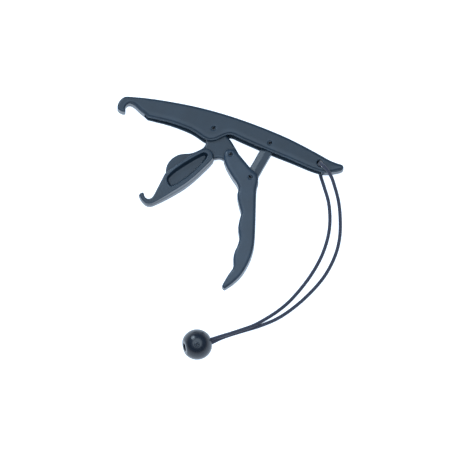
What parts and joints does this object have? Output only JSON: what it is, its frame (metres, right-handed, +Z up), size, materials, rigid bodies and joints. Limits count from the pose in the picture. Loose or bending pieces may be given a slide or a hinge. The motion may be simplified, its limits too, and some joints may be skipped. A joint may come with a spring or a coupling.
{
  "type": "lip grip",
  "caption": "Plastic fish lip grip with two hooked jaws, a squeeze handle on a toggle link, and a looped braided lanyard with a stopper ball.",
  "frame": {"origin": "centre of the grip's footprint, on the surface that it lies on; the cord and its ball are not counted", "axes": "+X from the hooked end towards the lanyard tail, along the body; +Y from the handle's lower end towards the back of the body; +Z up, along the hinge pins"},
  "size_m": [0.2268, 0.2714, 0.0306],
  "materials": {
    "body_plastic": "satin",
    "handle_plastic": "satin",
    "pin_steel": "satin",
    "cord_fabric": "matte",
    "ball_plastic": "gloss"
  },
  "bodies": {
    "frame": {"body": "body_plastic", "jaw_pin": "pin_steel", "link_rear_pin": "pin_steel", "lanyard_cord": "cord_fabric", "lanyard_ball": "ball_plastic", "cord_knot": "cord_fabric"},
    "lower_jaw": {"lower_jaw": "body_plastic"},
    "handle": {"handle": "handle_plastic", "handle_pin": "pin_steel", "link_front_pin": "pin_steel"},
    "toggle_link": {"toggle_link": "handle_plastic"}
  },
  "joints": [
    {"name": "jaw_hinge", "type": "hinge", "parent": "frame", "child": "lower_jaw", "pos_m": [-0.017, 0.0657, 0.012], "axis": [0, 0, -1], "range_deg": [0, 50]},
    {"name": "handle_hinge", "type": "hinge", "parent": "lower_jaw", "child": "handle", "pos_m": [0, 0.0387, 0.012], "axis": [0, 0, 1], "range_deg": [0, 89.5]},
    {"name": "link_hinge", "type": "hinge", "parent": "handle", "child": "toggle_link", "pos_m": [0.0198, 0.015, 0.012], "axis": [0, 0, -1], "range_deg": [0, 71]}
  ],
  "couplings": [
    {"joint": "handle_hinge", "follows": "jaw_hinge", "ratio": 1.79},
    {"joint": "link_hinge", "follows": "jaw_hinge", "ratio": 1.42}
  ]
}
